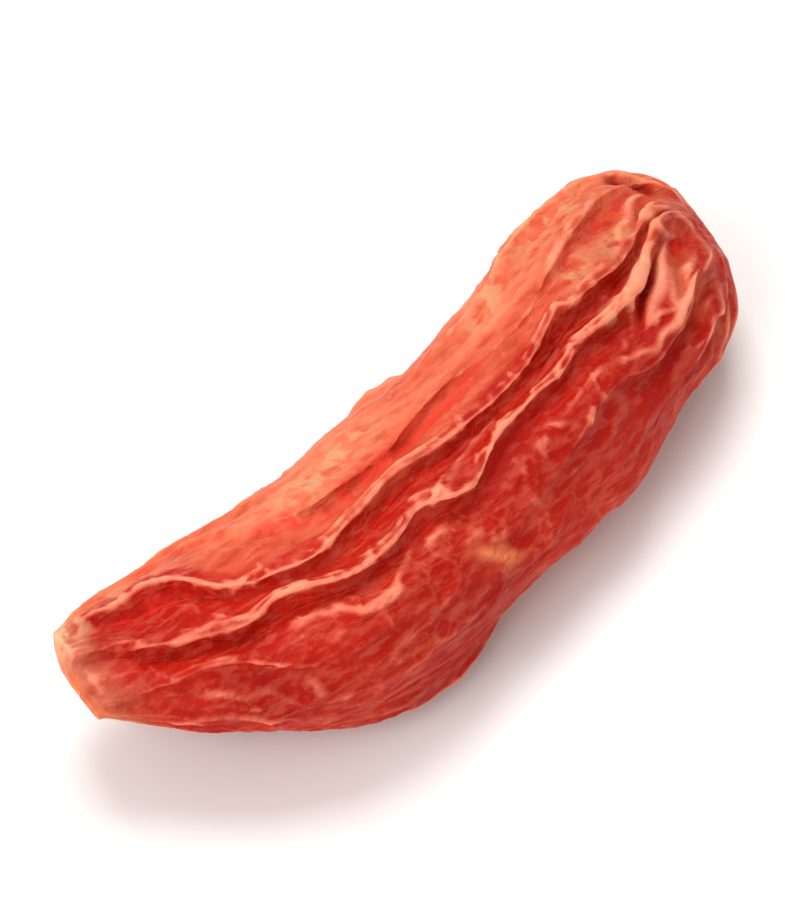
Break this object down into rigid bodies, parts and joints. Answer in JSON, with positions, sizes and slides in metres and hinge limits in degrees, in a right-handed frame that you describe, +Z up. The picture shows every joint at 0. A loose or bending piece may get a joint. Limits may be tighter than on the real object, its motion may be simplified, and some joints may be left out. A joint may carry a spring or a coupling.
{
  "type": "dried goji berry",
  "caption": "Dried wolfberry, a long shrunken red fruit with sharp lengthwise folds, a small stalk scar at one end and a pucker at the other, lying on its belly.",
  "frame": {"origin": "under the middle of the berry's box, on the surface that it lies on", "axes": "+X along the berry from the stalk scar to the pucker, +Z up, +Y to the hollow side of its bend"},
  "size_m": [0.0184, 0.0068, 0.0048],
  "materials": {
    "dried_skin": "dried fruit skin, waxy on the crests of its folds and dull in the grooves, red with salmon crests and tan dry patches"
  },
  "bodies": {
    "root": {"berry": "dried_skin"}
  },
  "joints": []
}
